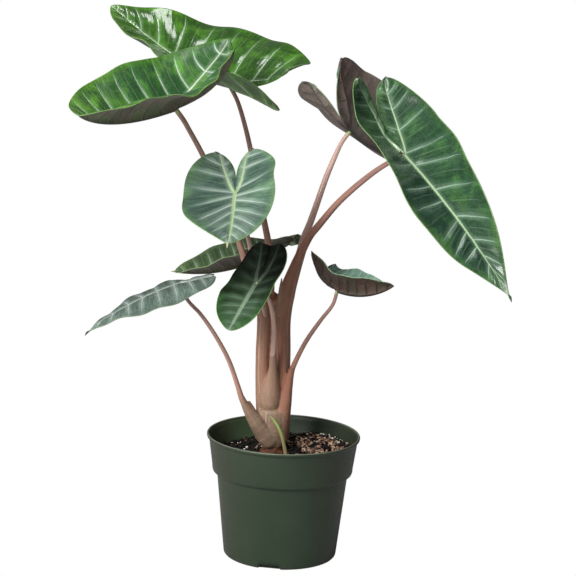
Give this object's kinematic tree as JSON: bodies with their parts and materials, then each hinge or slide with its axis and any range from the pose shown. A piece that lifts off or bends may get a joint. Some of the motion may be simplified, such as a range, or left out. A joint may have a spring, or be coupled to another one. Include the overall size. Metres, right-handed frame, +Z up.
{
  "type": "potted alocasia",
  "caption": "Pink dragon alocasia with quilted arrow-shaped leaves on slim pinkish stalks clasping a brown trunk, in a dark green plastic grow pot",
  "frame": {"origin": "middle of the pot's flat base, on the surface it stands on", "axes": "+Z up out of the pot, -Y towards the front of the plant, +X to its right seen from the front"},
  "size_m": [0.4328, 0.4047, 0.5749],
  "materials": {
    "pot_plastic": "satin",
    "potting_mix": "rough",
    "corm": "rough",
    "leaf_sheath": "satin",
    "leaf_stalk": "satin",
    "leaf_blade": "gloss",
    "sprout": "satin"
  },
  "bodies": {
    "root": {"pot": "pot_plastic", "potting_mix": "potting_mix", "corm": "corm", "trunk": "leaf_sheath", "sprout": "sprout", "petiole_upper_back": "leaf_stalk", "blade_upper_back": "leaf_blade", "petiole_upper_left": "leaf_stalk", "blade_upper_left": "leaf_blade", "petiole_front_heart": "leaf_stalk", "blade_front_heart": "leaf_blade", "petiole_middle_back": "leaf_stalk", "blade_middle_back": "leaf_blade", "petiole_front_hanging": "leaf_stalk", "blade_front_hanging": "leaf_blade", "petiole_lower_left": "leaf_stalk", "blade_lower_left": "leaf_blade", "petiole_lower_right": "leaf_stalk", "blade_lower_right": "leaf_blade", "petiole_turned_away": "leaf_stalk", "blade_turned_away": "leaf_blade", "petiole_large_right": "leaf_stalk", "blade_large_right": "leaf_blade"}
  },
  "joints": []
}
